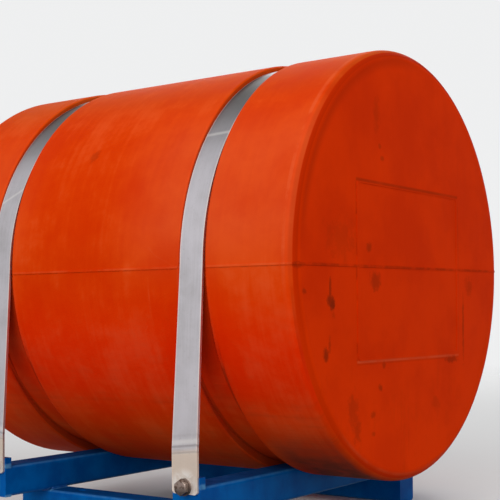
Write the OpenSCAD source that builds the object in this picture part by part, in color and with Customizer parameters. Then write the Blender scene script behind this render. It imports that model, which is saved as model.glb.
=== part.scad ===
// Cylindrical polyethylene float drum, held down on a welded steel cradle
// by two flat stainless steel straps.
// X runs along the drum axis, Z is up, the origin is at floor level under
// the middle of the cradle. All sizes are in millimetres.

/* [Drum] */
// Outside diameter of the drum
drum_d = 820; // [600:5:1200]
// Length of the drum over its two end faces
drum_len = 900; // [700:5:1600]
// Radius between the side wall and each end face
rim_r = 22; // [10:1:60]
// Turn of the drum about its axis, with its near side down, seen at the parting line
drum_turn = 0.6; // [0:0.1:5]
// Width of the mould flash along the parting line
flash_w = 4; // [2:0.5:10]
// Height of the mould flash above the wall
flash_h = 1; // [0.5:0.25:4]
// Height of the drum axis above the parting line
flash_drop = 4.5; // [0:0.5:20]

/* [Strap grooves] */
// Distance between the centres of the two strap grooves
strap_pitch = 480; // [300:5:900]
// Width of each groove where it holds a strap
groove_w = 56; // [54:1:66]
// Depth of the groove on the lower half of the drum, where the strap has left it
groove_depth = 5.7; // [2:0.1:12]
// Radius on the two edges of the groove there
groove_lip = 4; // [1:0.5:8]
// Draft of the groove walls, from the surface to the floor
groove_draft = 1.5; // [0:0.5:4]
// Width of the deeper part of the groove, over the cross beam
seat_w = 66; // [64:1:100]
// Radius on the two edges of the deeper part
seat_lip = 5; // [1:0.5:10]
// Depth of the flat seat that rests on the cross beam, below the drum surface
seat_depth = 26; // [8:1:50]
// Extra radius of the deeper floor beside the seat, over that of the drum
seat_flare = 11; // [2:1:40]
// Rise of the centre of the deeper floor above the drum axis
seat_rise = 30; // [10:1:60]

/* [Panel border] */
// Width of the plain border moulded on the end face
panel_w = 412; // [200:1:500]
// Height of the border
panel_h = 326; // [150:1:500]
// Width of the raised line of the border
panel_line = 8; // [4:1:20]
// Height of the middle of the border above the drum axis
panel_up = -13; // [-60:1:60]
// Corner radius of the border
panel_r = 14; // [2:1:40]

/* [Straps] */
// Width of each strap where it lies on the drum
strap_w = 50; // [40:1:60]
// Width of each strap at its bolted ends
strap_end_w = 55; // [50:1:80]
// Thickness of each strap
strap_t = 5; // [3:0.5:8]
// Depth of the strap's outer face below the drum surface, at the top
strap_sink = 10; // [2:0.5:14]
// Distance of the centre of the strap's arc below the drum axis
strap_shift = 12; // [0:1:20]
// Clearance between the strap and the floor of its groove
strap_clear = 0.2; // [0:0.1:1]
// Height of the strap's lower bend above the cross beam
bend_rise = 62; // [30:1:150]
// Length of the strap's ends below the top of the cross beam
strap_tail = 13; // [10:1:40]
// Chamfer on the corners of the strap's ends
strap_chamfer = 4; // [0:1:10]

/* [Strap bolts] */
// Thread diameter of the strap bolts
bolt_d = 16; // [12:2:20]
// Width across the flats of the bolt head
bolt_af = 24; // [18:1:30]
// Height of the bolt head
bolt_head = 10; // [6:0.5:13]
// Outside diameter of the washers
washer_d = 30; // [24:1:40]
// Thickness of the washers
washer_t = 3; // [1.5:0.5:4]
// Clearance on the diameter of the hole in the strap
strap_hole_clear = 2; // [0.5:0.5:3]
// Clearance on the diameter of the tapped hole
tap_clear = 0.4; // [0.2:0.1:1]
// Height of the strap bolts above the top of the cross beam
bolt_rise = -1; // [-10:1:20]

/* [Cradle] */
// Side of the square tube of the cross beams and the rails
tube = 60; // [40:5:100]
// Wall of the square tube
tube_t = 4; // [2:0.5:8]
// Outside corner radius of the square tube
tube_r = 8; // [4:1:12]
// Reach of the cross beams past each side of the drum
beam_over = 3; // [0:1:40]
// Length of the two rails under the cross beams
rail_len = 570; // [540:5:900]
// Distance between the centres of the two rails
rail_pitch = 560; // [300:10:700]
// Thickness of the lug plates on the ends of the cross beams
lug_t = 15; // [8:1:25]
// Height of the lug plates above the cross beam
lug_rise = 16; // [0:1:30]
// Thickness of the end caps of the rails
cap_t = 4; // [2:0.5:8]
// Diameter of the fixing holes down through the rails
fix_d = 18; // [12:1:26]
// Distance between the fixing holes along each rail
fix_pitch = 300; // [200:5:400]

/* [Hidden] */
drum_r = drum_d / 2;
seat_drop = drum_r - seat_depth;
beam_z = tube;
seat_z = beam_z + tube;
axis_z = seat_z + seat_drop;
beam_len = drum_d + 2 * beam_over;
strap_z = axis_z - strap_shift;
bend_drop = strap_z - seat_z - bend_rise;
strap_drop = strap_z - seat_z + strap_tail;
strap_ro = drum_r - strap_sink + strap_shift;
strap_ri = strap_ro - strap_t;
strap_floor_r = strap_ri - strap_clear;
lug_y = beam_len / 2 + lug_t;
lug_top = seat_z + lug_rise;
bolt_z = seat_z + bolt_rise;
// angle where the strap leaves the drum on its way to the lug plate
leave_far = sqrt(lug_y * lug_y + bend_drop * bend_drop);
leave = acos(strap_ri / leave_far) - atan2(bend_drop, lug_y);
// outer face of the strap: straight run down to the lower bend
out_run = (lug_y + strap_t - strap_ro * cos(leave)) / sin(leave);
out_bend = out_run * cos(leave) - strap_ro * sin(leave);

orange = [0.85, 0.30, 0.06];
steel = [0.74, 0.73, 0.74];
blue = [0.02, 0.30, 0.58];
bolt_grey = [0.55, 0.54, 0.52];

// rectangle with round corners, centred
module round_rect(w, h, r) {
  square([w - 2 * r, h], center = true);
  square([w, h - 2 * r], center = true);
  for (x = [-1, 1])
    for (y = [-1, 1])
      translate([x * (w / 2 - r), y * (h / 2 - r)])
        circle(r = r, $fn = 48);
}

// lengthways half section of the plain drum, radius along +X
module drum_section() {
  square([drum_r - rim_r, drum_len / 2]);
  square([drum_r, drum_len / 2 - rim_r]);
  translate([drum_r - rim_r, drum_len / 2 - rim_r])
    intersection() {
      circle(r = rim_r, $fn = 64);
      square(rim_r);
    }
}

module drum_body() {
  rotate([0, 90, 0])
    rotate_extrude($fn = 180)
      union() {
        drum_section();
        mirror([0, 1])
          drum_section();
      }
}

// thin flange left all round by the two halves of the mould
module mould_flash() {
  rotate([drum_turn, 0, 0])
    translate([0, 0, -flash_drop - flash_w / 2])
      linear_extrude(flash_w)
        round_rect(drum_len + 2 * flash_h, drum_d + 2 * flash_h, rim_r + flash_h);
}

// half section of a groove, with its edge rounded into the side wall
module groove_section(floor_r, half, lip) {
  polygon([[floor_r, 0], [floor_r, half - groove_draft], [drum_r, half], [drum_r + 20, half],
           [drum_r + 20, 0]]);
  difference() {
    translate([drum_r - lip, half - 0.4])
      square([lip + 20, lip + 0.4]);
    translate([drum_r - lip, half + lip])
      circle(r = lip, $fn = 48);
  }
}

module groove_ring(floor_r, half, lip) {
  rotate([0, 90, 0])
    rotate_extrude($fn = 180)
      union() {
        groove_section(floor_r, half, lip);
        mirror([0, 1])
          groove_section(floor_r, half, lip);
      }
}

// one strap groove: shallow round the drum, deeper towards the top, where its floor
// follows the arc of the strap, and wider over the cross beam
module groove_cut() {
  span = 2 * drum_d;
  groove_ring(drum_r - groove_depth, groove_w / 2, groove_lip);
  difference() {
    groove_ring(strap_floor_r - strap_shift - 10, groove_w / 2, groove_lip);
    translate([0, 0, -strap_shift])
      rotate([0, 90, 0])
        cylinder(r = strap_floor_r, h = groove_w + 4 * groove_lip, center = true, $fn = 180);
  }
  difference() {
    groove_ring(seat_drop - 20, seat_w / 2, seat_lip);
    intersection() {
      translate([0, 0, seat_rise])
        rotate([0, 90, 0])
          cylinder(r = drum_r + seat_flare, h = seat_w + 4 * seat_lip, center = true, $fn = 180);
      translate([-span / 2, -span / 2, -seat_drop])
        cube([span, span, span]);
    }
  }
}

module panel_border() {
  translate([drum_len / 2 - 1, 0, panel_up])
    rotate([90, 0, 90])
      linear_extrude(1 + flash_h)
        difference() {
          round_rect(panel_w, panel_h, panel_r);
          round_rect(panel_w - 2 * panel_line, panel_h - 2 * panel_line, panel_r - panel_line);
        }
}

module drum() {
  color(orange)
    translate([0, 0, axis_z])
      difference() {
        union() {
          drum_body();
          mould_flash();
          panel_border();
        }
        for (side = [-1, 1])
          translate([side * strap_pitch / 2, 0, 0])
            groove_cut();
      }
}

// space inside one face of the strap: a disc and the two straight runs below it,
// which start just inside the disc so that they cross its edge cleanly
module strap_inside(r, face, bend, bottom, w) {
  tangent = 0.999 * r * [cos(leave + 1.5), sin(leave + 1.5)];
  rotate([0, 90, 0])
    cylinder(r = r, h = w, center = true, $fn = 180);
  rotate([90, 0, 90])
    translate([0, 0, -w / 2])
      linear_extrude(w)
        polygon([[-tangent[0], tangent[1]], [tangent[0], tangent[1]], [face, -bend],
                 [face, -bottom], [-face, -bottom], [-face, -bend]]);
}

// band of one width, bent over the drum and down to the lug plates
module strap_band() {
  difference() {
    strap_inside(strap_ro, lug_y + strap_t, out_bend, strap_drop, strap_end_w);
    strap_inside(strap_ri, lug_y, bend_drop, strap_drop + 10, strap_end_w + 10);
  }
}

// front view of the strap, wider at its bolted end
module strap_face() {
  half = strap_w / 2;
  end = strap_end_w / 2;
  low = end - strap_chamfer;
  polygon([[-half, strap_ro + 10], [half, strap_ro + 10], [half, 0], [end, -bend_drop],
           [end, strap_chamfer - strap_drop], [low, -strap_drop], [-low, -strap_drop],
           [-end, strap_chamfer - strap_drop], [-end, -bend_drop], [-half, 0]]);
}

module strap(side) {
  color(steel)
    translate([side * strap_pitch / 2, 0, strap_z])
      difference() {
        intersection() {
          strap_band();
          translate([0, lug_y + 50, 0])
            rotate([90, 0, 0])
              linear_extrude(2 * lug_y + 100)
                strap_face();
        }
        translate([0, 0, bolt_z - strap_z])
          rotate([90, 0, 0])
            cylinder(d = bolt_d + strap_hole_clear, h = 2 * lug_y + 100, center = true, $fn = 48);
      }
}

// square tube, lying along X from its middle
module square_tube(length) {
  rotate([90, 0, 90])
    translate([0, 0, -length / 2])
      linear_extrude(length)
        difference() {
          round_rect(tube, tube, tube_r);
          round_rect(tube - 2 * tube_t, tube - 2 * tube_t, tube_r - tube_t);
        }
}

module beam(side) {
  color(blue)
    translate([side * strap_pitch / 2, 0, beam_z + tube / 2])
      rotate([0, 0, 90])
        square_tube(beam_len);
}

module rail(end) {
  color(blue)
    translate([0, end * rail_pitch / 2, tube / 2])
      difference() {
        square_tube(rail_len);
        for (x = [-1, 1])
          translate([x * fix_pitch / 2, 0, 0])
            cylinder(d = fix_d, h = tube + 10, center = true, $fn = 48);
      }
}

// thick plate welded over the end of a cross beam and tapped for the strap bolt
module lug(side, end) {
  color(blue)
    translate([side * strap_pitch / 2, end * lug_y, 0])
      rotate([0, 0, end > 0 ? 180 : 0])
        difference() {
          translate([-tube / 2, 0, beam_z])
            cube([tube, lug_t, lug_top - beam_z]);
          translate([0, lug_t / 2, bolt_z])
            rotate([90, 0, 0])
              cylinder(d = bolt_d + tap_clear, h = lug_t + 10, center = true, $fn = 48);
        }
}

module bolt(side, end) {
  head_y = lug_y + strap_t + washer_t;
  color(bolt_grey)
    translate([side * strap_pitch / 2, end * head_y, bolt_z])
      rotate([end > 0 ? -90 : 90, 0, 0]) {
        cylinder(d = bolt_af / cos(30), h = bolt_head, $fn = 6);
        translate([0, 0, -washer_t - strap_t - lug_t])
          cylinder(d = bolt_d, h = washer_t + strap_t + lug_t + 1, $fn = 48);
      }
}

module washer(side, end) {
  color(bolt_grey)
    translate([side * strap_pitch / 2, end * (lug_y + strap_t), bolt_z])
      rotate([end > 0 ? -90 : 90, 0, 0])
        difference() {
          cylinder(d = washer_d, h = washer_t, $fn = 64);
          translate([0, 0, -1])
            cylinder(d = bolt_d + tap_clear, h = washer_t + 2, $fn = 48);
        }
}

module cap(side, end) {
  color(blue)
    translate([side * rail_len / 2, end * rail_pitch / 2, tube / 2])
      rotate([0, 90, 0])
        translate([0, 0, side > 0 ? 0 : -cap_t])
          linear_extrude(cap_t)
            round_rect(tube, tube, tube_r);
}

drum();
strap(-1);  // strap_left
strap(1);  // strap_right
beam(-1);  // beam_left
beam(1);  // beam_right
rail(-1);  // rail_near
rail(1);  // rail_far
lug(-1, -1);  // lug_near_left
lug(1, -1);  // lug_near_right
lug(-1, 1);  // lug_far_left
lug(1, 1);  // lug_far_right
bolt(-1, -1);  // bolt_near_left
bolt(1, -1);  // bolt_near_right
bolt(-1, 1);  // bolt_far_left
bolt(1, 1);  // bolt_far_right
washer(-1, -1);  // washer_near_left
washer(1, -1);  // washer_near_right
washer(-1, 1);  // washer_far_left
washer(1, 1);  // washer_far_right
cap(-1, -1);  // cap_near_left
cap(1, -1);  // cap_near_right
cap(-1, 1);  // cap_far_left
cap(1, 1);  // cap_far_right
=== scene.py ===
import math

import bmesh
import bpy
from mathutils import Matrix, Vector


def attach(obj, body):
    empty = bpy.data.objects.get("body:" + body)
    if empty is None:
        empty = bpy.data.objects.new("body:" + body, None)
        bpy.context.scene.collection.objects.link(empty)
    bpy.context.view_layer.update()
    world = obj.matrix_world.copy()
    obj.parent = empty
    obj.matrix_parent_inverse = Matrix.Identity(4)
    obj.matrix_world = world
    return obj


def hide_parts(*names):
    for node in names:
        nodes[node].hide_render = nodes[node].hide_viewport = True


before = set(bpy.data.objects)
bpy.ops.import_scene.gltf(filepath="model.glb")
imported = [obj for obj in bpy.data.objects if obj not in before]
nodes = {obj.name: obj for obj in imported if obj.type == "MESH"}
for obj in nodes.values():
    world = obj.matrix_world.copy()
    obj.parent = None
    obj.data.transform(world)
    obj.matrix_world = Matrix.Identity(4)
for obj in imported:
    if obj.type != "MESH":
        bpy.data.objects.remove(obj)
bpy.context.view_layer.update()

print("frame loaded:", len(nodes), "nodes")

# sizes shared with the cradle and the drum, in metres and radians
layout = {
    "axisHeight": 0.504,
    "drumRadius": 0.41,
    "drumTurn": math.radians(0.6),
    "seamDrop": 0.0045,
    "borderWide": 0.2075,
    "borderTall": 0.161,
    "borderUp": -0.013,
    "strapPlace": 0.24,
    "strapCentre": 0.492,
    "bendHeight": 0.182,
    "boltHeight": 0.119,
    "tubeHalf": 0.03,
    "beamTop": 0.12,
    "beamMiddle": 0.09,
    "beamEnd": 0.413,
    "lugFace": 0.428,
    "railPlace": 0.28,
    "railTop": 0.06,
    "railMiddle": 0.03,
}


def paint(red, green, blue):
    # screen colour, 0 to 255, as the linear values a shader takes
    def straight(value):
        value /= 255
        return value / 12.92 if value <= 0.04045 else ((value + 0.055) / 1.055) ** 2.4
    return (straight(red), straight(green), straight(blue), 1.0)


class Strand:
    # one socket in a node tree, which can take part in sums
    def __init__(self, tree, socket=None):
        self.tree = tree
        self.socket = socket

    def node(self, kind, settings=None, values=None, out=0):
        made = self.tree.nodes.new(kind)
        for key, value in (settings or {}).items():
            setattr(made, key, value)
        for key, value in (values or {}).items():
            if isinstance(value, Strand):
                self.tree.links.new(value.socket, made.inputs[key])
            else:
                made.inputs[key].default_value = value
        return Strand(self.tree, made.outputs[out])

    def maths(self, operation, first, second=0.0):
        return self.node("ShaderNodeMath", {"operation": operation}, {0: first, 1: second})

    def __add__(self, other):
        return self.maths("ADD", self, other)

    __radd__ = __add__

    def __sub__(self, other):
        return self.maths("SUBTRACT", self, other)

    def __rsub__(self, other):
        return self.maths("SUBTRACT", other, self)

    def __mul__(self, other):
        return self.maths("MULTIPLY", self, other)

    __rmul__ = __mul__

    def __pow__(self, other):
        return self.maths("POWER", self, other)

    def __rpow__(self, other):
        return self.maths("POWER", other, self)

    def __abs__(self):
        return self.maths("ABSOLUTE", self)

    def least(self, other):
        return self.maths("MINIMUM", self, other)

    def most(self, other):
        return self.maths("MAXIMUM", self, other)

    def rise(self, low, high, start=0.0, end=1.0):
        # start below low, end above high, smooth between them
        return self.node("ShaderNodeMapRange", {"interpolation_type": "SMOOTHSTEP"},
                         {"Value": self, "From Min": low, "From Max": high, "To Min": start, "To Max": end})

    def fall(self, low, high):
        return self.rise(low, high, 1.0, 0.0)

    def near(self, place, inner, outer):
        # 1 within inner of place, 0 beyond outer
        return abs(self - place).fall(inner, outer)

    def split(self):
        parted = self.node("ShaderNodeSeparateXYZ", None, {0: self}).socket.node
        return [Strand(self.tree, parted.outputs[axis]) for axis in range(3)]

    def stretched(self, scale, shift=(0.0, 0.0, 0.0)):
        return self.node("ShaderNodeMapping", None,
                         {"Vector": self, "Location": shift, "Scale": scale})

    def away(self, centre, reach):
        # distance from centre, in units of reach along each axis
        moved = self.stretched([1 / size for size in reach],
                               shift=[-place / size for place, size in zip(centre, reach)])
        return self.node("ShaderNodeVectorMath", {"operation": "LENGTH"}, {0: moved}, out="Value")

    def noise(self, scale, detail=3.0, roughness=0.55, distortion=0.0):
        return self.node("ShaderNodeTexNoise", None, {"Vector": self, "Scale": scale, "Detail": detail,
                                                      "Roughness": roughness, "Distortion": distortion})

    def tint(self, first, second):
        # colour between first and second, by this factor; 6, 7 and 2 are the node's colour sockets
        return self.node("ShaderNodeMix", {"data_type": "RGBA"}, {0: self, 6: first, 7: second}, out=2)


def startFinish(name):
    material = bpy.data.materials.new(name)
    material.use_nodes = True
    material.node_tree.nodes.clear()
    start = Strand(material.node_tree)
    return material, start, start.node("ShaderNodeTexCoord", out="Object")


def endFinish(start, values, height):
    # height is in metres; every value may be a number or a strand
    values["Normal"] = start.node("ShaderNodeBump", None, {"Strength": 1.0, "Distance": 1.0,
                                                           "Height": height})
    surface = start.node("ShaderNodeBsdfPrincipled", None, values)
    output = start.tree.nodes.new("ShaderNodeOutputMaterial")
    start.tree.links.new(surface.socket, output.inputs["Surface"])


# camera matched to the photograph's outline of the drum
viewpoint = {
    "place": (1.4435, -1.9177, 0.4129),
    "azimuth": 35.616,
    "pitch": 0.987,
    "roll": -0.34,
    "sensor": 36.0,
    "focalPixels": 1116.6,
    "opticalCentre": (250.0, 295.0),
    "pixels": 500,
}


def makeCamera(view):
    data = bpy.data.cameras.new("photoCamera")
    data.sensor_width = view["sensor"]
    data.lens = view["focalPixels"] * view["sensor"] / view["pixels"]
    data.shift_x = (view["pixels"] / 2 - view["opticalCentre"][0]) / view["pixels"]
    data.shift_y = (view["opticalCentre"][1] - view["pixels"] / 2) / view["pixels"]
    data.clip_start = 0.05
    data.clip_end = 100.0
    camera = bpy.data.objects.new("photoCamera", data)
    bpy.context.scene.collection.objects.link(camera)
    turn = (Matrix.Rotation(math.radians(view["azimuth"]), 4, "Z")
            @ Matrix.Rotation(math.radians(90 + view["pitch"]), 4, "X")
            @ Matrix.Rotation(math.radians(view["roll"]), 4, "Z"))
    camera.matrix_world = Matrix.Translation(view["place"]) @ turn
    bpy.context.scene.camera = camera


makeCamera(viewpoint)
print("camera placed")

# moulded orange plastic of the drum
drumFinish = {
    "deep": paint(206, 49, 0),
    "pale": paint(218, 66, 4),
    "endDeep": paint(205, 44, 0),
    "endPale": paint(224, 54, 0),
    "endShade": paint(176, 37, 0),
    # redder colour painted as shade on the lower wall
    "shadeRed": paint(232, 30, 0),
    "dusty": paint(186, 84, 8),
    # pale chalk colour, also used for painted highlights
    "chalkAndHighlight": paint(232, 120, 76),
    # dirt colour, also used for painted shade
    "dirtAndShade": paint(84, 30, 12),
    "underside": paint(52, 38, 34),
    "roughness": 0.52,
    "specular": 0.007,
    "peel": 0.00004,
    "wave": 0.0018,
    # the most that each of these changes the colour
    "shadeRedAmount": 0.62,
    "dustAmount": 0.7,
    "hoopAmount": 0.15,
    "patchAmount": 0.13,
    "scuffAmount": 0.18,
    "bleachAmount": 0.3,
    "filmAmount": 0.2,
    # where the tones, painted highlights and painted shade of the rim start and end, in metres from the
    # middle of the drum
    "crestStart": (0.4235, 0.4275),
    "crestEnd": (0.4310, 0.4360),
    "rimShadeStart": (0.4350, 0.4400),
    "bandEnd": (0.4425, 0.4440),
    "faceStart": (0.4426, 0.4446),
    "borderStart": (0.4440, 0.4495),
    "lowStart": (0.4465, 0.4480),
    "lowEnd": (0.4488, 0.4499),
    "shadeEnd": (0.4478, 0.4499),
    # smears on the end face: place across and up, reach across and up, strength
    "facePlace": 0.45,
    "faceReach": 0.02,
    "faceSmears": [
        (-0.2969, 0.4530, 0.0042, 0.0210, 0.50),
        (-0.2888, 0.4262, 0.0090, 0.0110, 0.70),
        (-0.2975, 0.4360, 0.0110, 0.0090, 0.62),
        (-0.2864, 0.4120, 0.0060, 0.0080, 0.22),
        (-0.3773, 0.4507, 0.0070, 0.0050, 0.38),
        (-0.2998, 0.3620, 0.0050, 0.0150, 0.36),
        (-0.3122, 0.3426, 0.0085, 0.0110, 0.60),
        (-0.2624, 0.5420, 0.0480, 0.0340, 0.17),
        (-0.1395, 0.4713, 0.0220, 0.0170, 0.38),
        (-0.1609, 0.5328, 0.0110, 0.0085, 0.36),
        (-0.1302, 0.7769, 0.0120, 0.0320, 0.18),
        (-0.1206, 0.7190, 0.0060, 0.0045, 0.26),
        (-0.1104, 0.6983, 0.0080, 0.0055, 0.30),
        (-0.1091, 0.3179, 0.0095, 0.0070, 0.36),
        (-0.1252, 0.2776, 0.0075, 0.0065, 0.46),
        (-0.2226, 0.2423, 0.0170, 0.0340, 0.26),
        (-0.2093, 0.2090, 0.0140, 0.0260, 0.30),
        (-0.1504, 0.2296, 0.0095, 0.0060, 0.35),
        (-0.1509, 0.1956, 0.0070, 0.0050, 0.30),
        (0.1727, 0.3193, 0.0300, 0.0075, 0.45),
        (0.2300, 0.3820, 0.0048, 0.0640, 0.36),
        (0.2598, 0.4675, 0.0170, 0.0200, 0.22),
        (0.1008, 0.2346, 0.0220, 0.0140, 0.16),
        (-0.3960, 0.4930, 0.0160, 0.0050, 0.34),
    ],
    # smears on the wall: place, reach along each axis, strength
    "wallSmears": [
        ((-0.0435, -0.3505, 0.7170), (0.010, 0.03, 0.0140), 0.26),
    ],
}


def mouldedPlastic(look):
    material, start, place = startFinish("mouldedPlastic")
    along, across, up = place.split()
    height = up - layout["axisHeight"]
    length = abs(along)
    girth = (across * across + height * height) ** 0.5
    broad = place.noise(4.5, 4.0, 0.6)
    cloudy = place.noise(19.0, 5.0, 0.65)
    grain = place.noise(380.0, 2.0, 0.5)
    hoops = place.stretched((70.0, 2.5, 2.5)).noise(1.0, 3.0, 0.6)
    runs = place.stretched((1.0, 80.0, 5.0)).noise(1.0, 3.0, 0.6)
    # the end face starts crisply half-way round the rim
    endFace = length.rise(*look["faceStart"])
    wall = 1 - endFace
    blotch = (broad * 0.55 + cloudy * 0.3 + hoops * 0.15).rise(0.36, 0.64)
    colour = blotch.tint(look["deep"], look["pale"])
    # painted shade: below its widest line the wall is tinted redder, the colour its orange takes in shade
    shadedLow = height.fall(-0.17, 0.0) * height.rise(-0.34, -0.20) * look["shadeRedAmount"]
    colour = shadedLow.tint(colour, look["shadeRed"])
    # dust lies along its crest
    crest = height.rise(0.27, 0.38) * (broad * look["dustAmount"])
    colour = crest.tint(colour, look["dusty"])
    # mottled end face, darkened by painted shade at the rim above and at its near edge, and paler towards
    # the bottom as painted light
    mottle = place.noise(8.0, 4.0, 0.55).rise(0.34, 0.68) * 0.6 + runs * 0.2
    mottle = (mottle + height.fall(-0.34, -0.14) * 0.4).least(1.0)
    colour = endFace.tint(colour, mottle.tint(look["endDeep"], look["endPale"]))
    shaded = length.fall(*look["shadeEnd"]) * height.rise(-0.24, 0.10, 0.35, 0.95)
    insideShade = girth.rise(0.368, 0.390) * across.fall(-0.06, 0.10) * height.rise(0.0, 0.12) * 0.6
    colour = (endFace * shaded.most(insideShade)).tint(colour, look["endShade"])
    # painted highlights on the crest of the rim, in a weaker band beside it, along its lower edge and on
    # the groove lips
    fromStrap = abs(length - layout["strapPlace"])
    pastWall = length.rise(*look["crestStart"])
    rimCrestHighlight = pastWall * length.fall(*look["crestEnd"])
    rimBandHighlight = pastWall * length.fall(*look["bandEnd"]) * 0.2
    lowRimHighlight = length.rise(*look["lowStart"]) * length.fall(*look["lowEnd"]) * height.fall(-0.34, -0.28)
    rim = (rimCrestHighlight.most(rimBandHighlight) * height.rise(-0.14, 0.05, 0.2, 1.0)).most(lowRimHighlight * 0.55)
    lipHighlight = fromStrap.rise(0.028, 0.030) * fromStrap.fall(0.033, 0.038)
    paintedHighlight = rim.most(lipHighlight * 0.35) * cloudy.rise(0.3, 0.62, 0.06, 0.24)
    # chalky bloom in soft patches and faint hoops round the wall, and a few thin scuffs
    patches = (cloudy * 0.4 + broad * 0.4 + hoops * 0.2).rise(0.47, 0.66) * look["patchAmount"]
    bloom = (hoops.rise(0.55, 0.8) * cloudy.rise(0.42, 0.62) * look["hoopAmount"]).most(patches)
    scuffLine = place.noise(7.0, 2.0, 0.4, 0.6).near(0.5, 0.0, 0.0035)
    scuffs = scuffLine * place.noise(11.0, 3.0, 0.6).rise(0.58, 0.68) * look["scuffAmount"]
    # bleached above the parting line, most on the right end section and beside the straps
    bleachPlace = along.rise(0.0, 0.19).most(along.fall(-0.27, -0.12) * 0.7)
    bleachHeight = height.rise(-0.07, 0.08) * height.rise(0.20, 0.31, 1.0, 0.15)
    bleach = bleachPlace * bleachHeight * (broad * look["bleachAmount"])
    # chalky bloom, scuffs and bleach, together with the painted highlights
    chalkyAndHighlight = (bloom.most(scuffs).most(bleach) * wall).most(paintedHighlight)
    colour = chalkyAndHighlight.tint(colour, look["chalkAndHighlight"])
    # painted shade in the corners of the strap grooves, and the straps' painted shadow in the grooves below
    # the parting line
    inGroove = girth.fall(layout["drumRadius"] - 0.004, layout["drumRadius"] - 0.0025) * wall
    corner = fromStrap.rise(0.023, 0.027) * fromStrap.fall(0.033, 0.036)
    strapShadow = height.fall(-0.07, 0.0) * height.rise(-0.24, -0.14) * 0.24
    paintedShade = inGroove * (corner * (cloudy * 0.5 + 0.1)).most(strapShadow)
    # painted shade in a thin band past the crest of the rim, where it turns towards the end face
    rimTurnShade = length.rise(*look["rimShadeStart"]) * wall * height.rise(-0.26, 0.12, 0.0, 0.2)
    # dirt along the mould parting line on the end face; on the wall a painted shade line below it and a
    # pale painted highlight on the ridge above
    seam = height - across * math.tan(layout["drumTurn"]) + layout["seamDrop"]
    seamFace = seam.near(0.0, 0.0006, 0.0040) * endFace * cloudy.rise(0.35, 0.62, 0.06, 0.42)
    seamShadeLine = seam.near(-0.0028, 0.0003, 0.0021) * wall * hoops.rise(0.35, 0.6, 0.03, 0.20)
    seamRidgeHighlight = seam.near(0.0004, 0.0006, 0.0026) * wall * cloudy.rise(0.35, 0.6, 0.02, 0.15)
    colour = seamRidgeHighlight.tint(colour, look["chalkAndHighlight"])
    # soft lines of dirt on the plain border, strongest along its top, and a pale painted highlight at its
    # foot
    border = height - layout["borderUp"]
    wide, tall = layout["borderWide"], layout["borderTall"]
    onFace = along.rise(*look["borderStart"])
    within = abs(across).fall(wide - 0.0025, wide + 0.0015) * onFace
    beside = abs(border).fall(tall - 0.001, tall + 0.003) * onFace
    topLine = border.near(tall - 0.001, 0.0005, 0.005) * within * cloudy.rise(0.3, 0.6, 0.26, 0.42)
    sideLine = abs(across).near(wide, 0.0006, 0.0032) * beside * cloudy.rise(0.44, 0.62) * 0.3
    lowLine = border.near(-tall - 0.007, 0.0006, 0.0032) * within * cloudy * 0.3
    lowShine = border.near(-tall - 0.0032, 0.0008, 0.0034) * within * cloudy.rise(0.3, 0.6, 0.1, 0.3)
    colour = lowShine.tint(colour, look["chalkAndHighlight"])
    # all the dirt and painted shade, with the smears at their own places
    dirtAndShadeMask = paintedShade
    for darkLine in (rimTurnShade, seamFace, seamShadeLine, topLine, sideLine, lowLine):
        dirtAndShadeMask = dirtAndShadeMask.most(darkLine)
    ragged = (place.noise(70.0, 3.0, 0.7) - 0.5) * 2.4
    onEnd = [((look["facePlace"], y, z), (look["faceReach"], reachY, reachZ), strength)
             for y, z, reachY, reachZ, strength in look["faceSmears"]]
    for centre, reach, strength in onEnd + look["wallSmears"]:
        dirtAndShadeMask = dirtAndShadeMask.most((place.away(centre, reach) + ragged).fall(0.3, 1.35) * strength)
    # thin film of dirt low on the drum, thickest under its right end section
    film = (runs * 0.5 + cloudy * 0.5).rise(0.5, 0.72) * height.fall(-0.32, 0.05)
    film = film * (look["filmAmount"] - endFace * 0.08)
    colour = dirtAndShadeMask.most(film).least(0.85).tint(colour, look["dirtAndShade"])
    under = height.fall(-0.39, -0.27) * along.rise(0.26, 0.32, 0.10, 0.88) * length.fall(0.425, 0.446)
    colour = (under * cloudy.rise(0.3, 0.6, 0.7, 1.0)).tint(colour, look["underside"])
    relief = grain * look["peel"] + broad * look["wave"] + cloudy * 0.0002
    endFinish(start, {"Base Color": colour, "Specular IOR Level": look["specular"],
                      "Roughness": cloudy * 0.16 + look["roughness"] - 0.08 + dirtAndShadeMask * 0.2}, relief)
    return material


# rolled stainless bar of the straps
strapFinish = {
    "steel": paint(186, 182, 187),
    "warm": paint(206, 188, 168),
    # pale colour painted as a highlight along the bar's edges
    "edgeHighlight": paint(226, 208, 200),
    "dull": paint(150, 146, 146),
    "crease": paint(222, 218, 214),
    # dark colour painted as a reflection over the drum's shoulders
    "darkReflection": paint(62, 60, 57),
    "roughness": 0.42,
    # heights between which the painted reflection comes and goes, and how strong it is
    "reflectionStart": (0.66, 0.838),
    "shadeEnd": (0.860, 0.880),
    "reflectionAmount": 0.98,
    # half the bar's width, over the drum and at its bolted end
    "halfWidth": 0.025,
    "halfEnd": 0.0275,
    # height of the press mark on each strap, and its slope along the drum
    "rightMark": (0.737, 0.06),
    "leftMark": (0.652, 0.54),
    # slope of the marks at the bend
    "bendSlope": 0.12,
}


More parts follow.
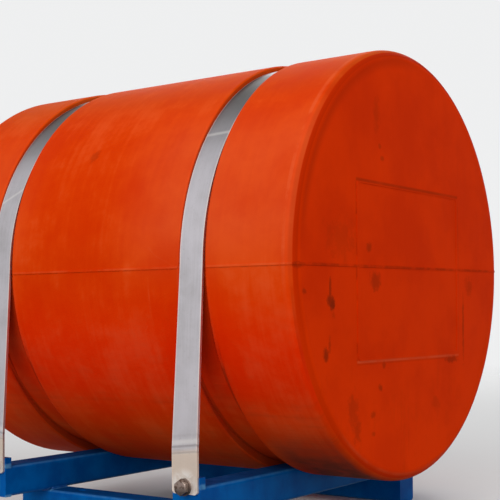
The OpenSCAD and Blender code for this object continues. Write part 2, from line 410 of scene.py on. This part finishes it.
def stainlessBar(look):
    material, start, place = startFinish("stainlessBar")
    along, up = place.split()[::2]
    offStrap = abs(along) - layout["strapPlace"]
    grain = place.stretched((1100.0, 9.0, 9.0)).noise(1.0, 3.0, 0.6)
    cloudy = place.noise(12.0, 4.0, 0.6)
    specks = place.noise(150.0, 3.0, 0.7)
    tone = (grain * 0.35 + cloudy * 0.65).rise(0.3, 0.62)
    colour = (tone * 0.6 + 0.4).tint(look["dull"], look["steel"])
    # painted reflection: the steel is darker over the shoulders of the drum, as if mirroring dark
    # surroundings
    archReflection = up.rise(*look["reflectionStart"]) * up.fall(*look["shadeEnd"]) * look["reflectionAmount"]
    colour = archReflection.tint(colour, look["darkReflection"])
    # faint painted highlight along a press mark across each strap
    right = along.rise(-0.01, 0.01)
    markUp, markSlope = [right * rightValue + (1 - right) * leftValue
                         for rightValue, leftValue in zip(look["rightMark"], look["leftMark"])]
    overMark = up - (markUp + markSlope * offStrap * (right * 2 - 1))
    colour = (overMark.near(-0.001, 0.0006, 0.0044) * 0.4).tint(colour, look["crease"])
    # painted highlight along the bar's edges
    halfWidth = up.rise(layout["bendHeight"], layout["strapCentre"], look["halfEnd"], look["halfWidth"])
    edge = (halfWidth - abs(offStrap)).fall(0.0008, 0.0034) * cloudy.rise(0.25, 0.5, 0.2, 0.6)
    colour = edge.tint(colour, look["edgeHighlight"])
    # handled lower end is warmer, below two more press marks at the bend, drawn as a painted highlight and
    # painted shade in their creases
    fromBend = up - offStrap * look["bendSlope"] - layout["bendHeight"]
    lowEnd = fromBend.fall(-0.008, 0.006)
    colour = (lowEnd * (cloudy * 0.5 + 0.45)).tint(colour, look["warm"])
    colour = (fromBend.near(0.014, 0.001, 0.007) * 0.4).tint(colour, look["crease"])
    marks = (fromBend.near(0.0060, 0.0005, 0.0032)
             .most(fromBend.near(-0.0050, 0.0004, 0.0028) * 0.55)
             .most(fromBend.near(0.0240, 0.0006, 0.0040) * 0.25))
    colour = (marks * 0.6).tint(colour, look["dull"])
    # scraped by the spanner round the bolt
    boltReach = (offStrap ** 2 + (up - layout["boltHeight"]) ** 2) ** 0.5
    scrapes = boltReach.fall(0.020, 0.036) * place.noise(55.0, 4.0, 0.7, 0.8).rise(0.38, 0.56, 0.3, 1.0)
    colour = (scrapes * 0.75).tint(colour, look["crease"])
    worn = specks.rise(0.60, 0.74) * 0.3
    colour = worn.tint(colour, look["dull"])
    relief = grain * 0.00001 + cloudy * 0.0005 - marks * 0.0003
    roughness = grain * 0.1 + look["roughness"] + worn * 0.4 + lowEnd * 0.12 - 0.05
    endFinish(start, {"Base Color": colour, "Metallic": 1.0, "Roughness": roughness}, relief)
    return material


# machine enamel of the cradle
enamelFinish = {
    "blue": paint(0, 98, 176),
    "deep": paint(0, 72, 146),
    # pale colour painted as a highlight along the corners
    "edge": paint(92, 156, 200),
    # colour of the painted shade on upward faces
    "paintedShade": paint(2, 44, 92),
    "bare": paint(116, 108, 102),
    "roughness": 0.30,
    "specular": 0.03,
    # the welds shine more
    "weldSpecular": 0.4,
}


def machineEnamel(look):
    material, start, place = startFinish("machineEnamel")
    along, across, up = place.split()
    cloudy = place.noise(9.0, 4.0, 0.6)
    fine = place.noise(60.0, 4.0, 0.65)
    chipNoise = place.noise(34.0, 5.0, 0.75)
    colour = cloudy.rise(0.32, 0.66).tint(look["deep"], look["blue"])
    # painted shade: what faces up is darker
    facing = start.node("ShaderNodeNewGeometry", out="Normal").split()[2]
    paintedShade = facing.rise(0.6, 0.97) * (fine * 0.5 + 0.5)
    colour = (paintedShade * 0.7).tint(colour, look["paintedShade"])
    # painted highlight along the corners of the cross beams and the rails, and chips at them
    corners = []
    for inward, middle, centreHeight in ((abs(along), layout["strapPlace"], layout["beamMiddle"]),
                                         (abs(across), layout["railPlace"], layout["railMiddle"])):
        fromSide = abs(abs(inward - middle) - layout["tubeHalf"]).least(0.02)
        fromTop = abs(abs(up - centreHeight) - layout["tubeHalf"]).least(0.02)
        corners.append(fromSide + fromTop)
    edges = corners[0].least(corners[1]).fall(0.0024, 0.0062)
    colour = (edges * fine.rise(0.3, 0.6, 0.3, 0.75)).tint(colour, look["edge"])
    chips = (chipNoise + edges * 0.11).rise(0.715, 0.73)
    colour = chips.tint(colour, look["bare"])
    relief = fine * 0.0002 + cloudy * 0.0006 - chips * 0.00025
    roughness = fine * 0.1 + look["roughness"] + paintedShade * 0.35 + chips * 0.15 - 0.05
    endFinish(start, {"Base Color": colour, "Metallic": chips * 0.5,
                      "Specular IOR Level": look["specular"], "Roughness": roughness}, relief)
    return material


# dull plated bolts and washers
boltFinish = {
    "zinc": paint(146, 130, 122),
    "brown": paint(76, 50, 36),
    # colour of the painted shade on the lower half
    "paintedShade": paint(26, 30, 34),
    "roughness": 0.36,
}


def platedSteel(look):
    material, start, place = startFinish("platedSteel")
    cloudy = place.noise(85.0, 4.0, 0.7)
    fine = place.noise(500.0, 3.0, 0.6)
    stain = cloudy.rise(0.45, 0.62)
    colour = stain.tint(look["zinc"], look["brown"])
    # painted shade on the lower half
    low = place.split()[2].fall(layout["boltHeight"] - 0.009, layout["boltHeight"] + 0.006)
    colour = (low * 0.7).tint(colour, look["paintedShade"])
    endFinish(start, {"Base Color": colour, "Metallic": 1 - stain * 0.55,
                      "Roughness": fine * 0.12 + look["roughness"] + stain * 0.25},
              fine * 0.00008 + stain * 0.00008)
    return material


# weld beads under the same enamel
def paintedWeld(look):
    material, start, place = startFinish("paintedWeld")
    cloudy = place.noise(60.0, 4.0, 0.6)
    colour = cloudy.rise(0.35, 0.7).tint(look["deep"], look["blue"])
    endFinish(start, {"Base Color": colour, "Specular IOR Level": look["weldSpecular"],
                      "Roughness": cloudy * 0.1 + look["roughness"]}, cloudy * 0.0004)
    return material


plastic = mouldedPlastic(drumFinish)
stainless = stainlessBar(strapFinish)
enamel = machineEnamel(enamelFinish)
plated = platedSteel(boltFinish)
weldPaint = paintedWeld(enamelFinish)

for name, piece in nodes.items():
    if name == "drum":
        finish = plastic
    elif name.startswith("strap"):
        finish = stainless
    elif name.startswith(("bolt", "washer")):
        finish = plated
    else:
        finish = enamel
    piece.data.materials.clear()
    piece.data.materials.append(finish)
print("finishes made and given to the cradle, the drum and the straps")


def addPiece(name, mesh, material, smooth=True):
    data = bpy.data.meshes.new(name)
    bmesh.ops.recalc_face_normals(mesh, faces=mesh.faces)
    mesh.to_mesh(data)
    mesh.free()
    data.materials.append(material)
    for face in data.polygons:
        face.use_smooth = smooth
    piece = bpy.data.objects.new(name, data)
    bpy.context.scene.collection.objects.link(piece)
    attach(piece, "root")
    return piece


# hexagon bolts through the strap ends
strapBolt = {
    "acrossFlats": 0.024,
    "headHeight": 0.010,
    "shankRadius": 0.008,
    "shankLength": 0.023,
    # slope of the chamfer, how far out on the flats it starts, and its flat cuts
    "chamfer": math.radians(30),
    "chamferStart": 0.97,
    "facets": 24,
    # thickness of what the head is seated on
    "washer": 0.003,
    "strap": 0.005,
    # no two heads are turned alike
    "turnBySide": math.radians(11),
    "turnByEnd": math.radians(7),
}


def makeBolt(name, side, end, size):
    mesh = bmesh.new()
    corner = size["acrossFlats"] / 2 / math.cos(math.radians(30))
    bmesh.ops.create_cone(mesh, cap_ends=True, segments=6, radius1=corner, radius2=corner,
                          depth=size["headHeight"],
                          matrix=Matrix.Translation((0, 0, size["headHeight"] / 2)))
    # turn the top corners down on a cone, as a bolt maker does
    edge = size["acrossFlats"] / 2 * size["chamferStart"]
    for facet in range(size["facets"]):
        angle = 2 * math.pi * facet / size["facets"]
        outward = Vector((math.cos(angle) * math.sin(size["chamfer"]),
                          math.sin(angle) * math.sin(size["chamfer"]), math.cos(size["chamfer"])))
        rim = Vector((math.cos(angle) * edge, math.sin(angle) * edge, size["headHeight"]))
        geometry = mesh.verts[:] + mesh.edges[:] + mesh.faces[:]
        cut = bmesh.ops.bisect_plane(mesh, geom=geometry, plane_co=rim, plane_no=outward,
                                     clear_outer=True)
        openEdges = [item for item in cut["geom_cut"] if isinstance(item, bmesh.types.BMEdge)]
        if openEdges:
            bmesh.ops.holes_fill(mesh, edges=openEdges, sides=0)
    bmesh.ops.create_cone(mesh, cap_ends=True, segments=32, radius1=size["shankRadius"],
                          radius2=size["shankRadius"], depth=size["shankLength"],
                          matrix=Matrix.Translation((0, 0, -size["shankLength"] / 2)))
    seat = layout["lugFace"] + size["strap"] + size["washer"]
    turn = Matrix.Rotation(math.radians(-90 if end > 0 else 90), 4, "X")
    spin = Matrix.Rotation(size["turnBySide"] * side + size["turnByEnd"] * end, 4, "Z")
    place = Matrix.Translation((side * layout["strapPlace"], end * seat, layout["boltHeight"]))
    bmesh.ops.transform(mesh, matrix=place @ turn @ spin, verts=mesh.verts)
    return addPiece(name, mesh, plated, smooth=False)


for end, endName in ((-1, "near"), (1, "far")):
    for side, sideName in ((-1, "left"), (1, "right")):
        headed = makeBolt(f"strapBolt_{endName}_{sideName}", side, end, strapBolt)
        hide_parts(f"bolt_{endName}_{sideName}")
print("strap bolts made")

# weld beads of the cradle
weld = {
    "radius": 0.0042,
    "ripple": 0.0035,
    "swell": 0.12,
    # a bead narrows to this part of its radius at its ends
    "tip": 0.6,
    # half the length of a bead on the tubes and at a lug plate
    "tubeRun": 0.022,
    "lugRun": 0.023,
    # how far in from the side of a tube and the end of a beam, and out of its face
    "inset": 0.0045,
    "endInset": 0.001,
    "tubeLift": 0.0015,
    "lugLift": 0.001,
}


def weldBead(mesh, start, end, size):
    start, end = Vector(start), Vector(end)
    run = end - start
    count = max(4, round(run.length / size["ripple"]))
    turn = run.to_track_quat("Z", "Y").to_matrix().to_4x4()
    made = bmesh.ops.create_circle(mesh, cap_ends=True, segments=10,
                                   radius=size["radius"] * size["tip"],
                                   matrix=Matrix.Translation(start) @ turn)
    cap = list({face for vert in made["verts"] for face in vert.link_faces})
    for step in range(1, count + 1):
        grown = bmesh.ops.extrude_face_region(mesh, geom=cap)
        if step > 1:
            # the last cap is inside the bead now
            bmesh.ops.delete(mesh, geom=cap, context="FACES_ONLY")
        fresh = [item for item in grown["geom"] if isinstance(item, bmesh.types.BMVert)]
        cap = [item for item in grown["geom"] if isinstance(item, bmesh.types.BMFace)]
        bmesh.ops.translate(mesh, vec=run / count, verts=fresh)
        centre = start + run * step / count
        wanted = size["radius"] * (1 + size["swell"] * (1 if step % 2 else -1))
        if step == count:
            wanted = size["radius"] * size["tip"]
        present = (fresh[0].co - centre).length
        bmesh.ops.scale(mesh, vec=Vector((1, 1, 1)) * wanted / present, verts=fresh,
                        space=Matrix.Translation(-centre))


def makeWelds(size):
    mesh = bmesh.new()
    sideIn = layout["tubeHalf"] - size["inset"]
    above = layout["railTop"] + size["tubeLift"]
    below = layout["railTop"] - size["tubeLift"]
    reach = size["tubeRun"]
    for side in (-1, 1):
        for end in (-1, 1):
            for edge in (-1, 1):
                # beam side on the top of the rail
                x = side * layout["strapPlace"] + edge * sideIn
                y = end * layout["railPlace"]
                weldBead(mesh, (x, y - reach, above), (x, y + reach, above), size)
                # rail side under the beam
                x = side * layout["strapPlace"]
                y = end * layout["railPlace"] + edge * sideIn
                weldBead(mesh, (x - reach, y, below), (x + reach, y, below), size)
            # lug plate on top of the beam
            x = side * layout["strapPlace"]
            y = end * (layout["beamEnd"] - size["endInset"])
            z = layout["beamTop"] + size["lugLift"]
            weldBead(mesh, (x - size["lugRun"], y, z), (x + size["lugRun"], y, z), size)
    addPiece("cradleWelds", mesh, weldPaint)


makeWelds(weld)
print("welds made")

# pale floor that fades into the plain background
studio = {
    "background": (0.86, 0.865, 0.87, 1.0),
    "floor": (0.78, 0.78, 0.78, 1.0),
    "bounce": (0.33, 0.33, 0.33, 1.0),
    "floorRadius": 9.0,
    "fadeFrom": 2.2,
    "fadeTo": 7.0,
    "ambient": 0.55,
    # place, aim, width, power and colour of each soft lamp
    "lamps": {
        "keyLamp": ((1.2, -5.8, 2.7), (0.0, 0.0, 0.5), 7.0, 250.0, (1.0, 0.99, 0.97)),
        "endLamp": ((4.4, -0.8, 4.2), (0.4, 0.0, 0.5), 4.6, 90.0, (0.98, 0.99, 1.0)),
        "backLamp": ((-2.4, 4.6, 3.6), (0.0, 0.0, 0.5), 4.6, 85.0, (1.0, 1.0, 1.0)),
    },
}


def straightRay(start):
    # 1 for what the camera sees and for what gloss mirrors
    camera = start.node("ShaderNodeLightPath", out="Is Camera Ray")
    return camera.most(start.node("ShaderNodeLightPath", out="Is Glossy Ray"))


def makeFloor(look):
    mesh = bmesh.new()
    bmesh.ops.create_circle(mesh, cap_ends=True, segments=96, radius=look["floorRadius"])
    data = bpy.data.meshes.new("studioFloor")
    mesh.to_mesh(data)
    mesh.free()
    floor = bpy.data.objects.new("studioFloor", data)
    bpy.context.scene.collection.objects.link(floor)
    material, start, place = startFinish("studioFloor")
    along, across = place.split()[:2]
    reach = (along * along + across * across) ** 0.5
    tone = straightRay(start).tint(look["bounce"], look["floor"])
    matt = start.node("ShaderNodeBsdfDiffuse", None, {"Color": tone})
    clear = start.node("ShaderNodeBsdfTransparent")
    mixed = start.node("ShaderNodeMixShader", None, {0: reach.rise(look["fadeFrom"], look["fadeTo"]),
                                                     1: matt, 2: clear})
    output = start.tree.nodes.new("ShaderNodeOutputMaterial")
    start.tree.links.new(mixed.socket, output.inputs["Surface"])
    data.materials.append(material)


def makeWorld(look):
    world = bpy.data.worlds.new("studioWorld")
    world.use_nodes = True
    world.node_tree.nodes.clear()
    start = Strand(world.node_tree)
    strength = straightRay(start) * (1 - look["ambient"]) + look["ambient"]
    plain = start.node("ShaderNodeBackground", None, {"Color": look["background"],
                                                      "Strength": strength})
    output = world.node_tree.nodes.new("ShaderNodeOutputWorld")
    world.node_tree.links.new(plain.socket, output.inputs["Surface"])
    bpy.context.scene.world = world


def makeLamps(look):
    for name, (place, aim, size, power, colour) in look["lamps"].items():
        data = bpy.data.lights.new(name, "AREA")
        data.shape = "DISK"
        data.size = size
        data.energy = power
        data.color = colour
        lamp = bpy.data.objects.new(name, data)
        bpy.context.scene.collection.objects.link(lamp)
        lamp.location = place
        lamp.rotation_mode = "QUATERNION"
        lamp.rotation_quaternion = (Vector(aim) - Vector(place)).to_track_quat("-Z", "Y")


makeFloor(studio)
makeWorld(studio)
makeLamps(studio)
bpy.context.scene.view_settings.view_transform = "Standard"
print("studio set")
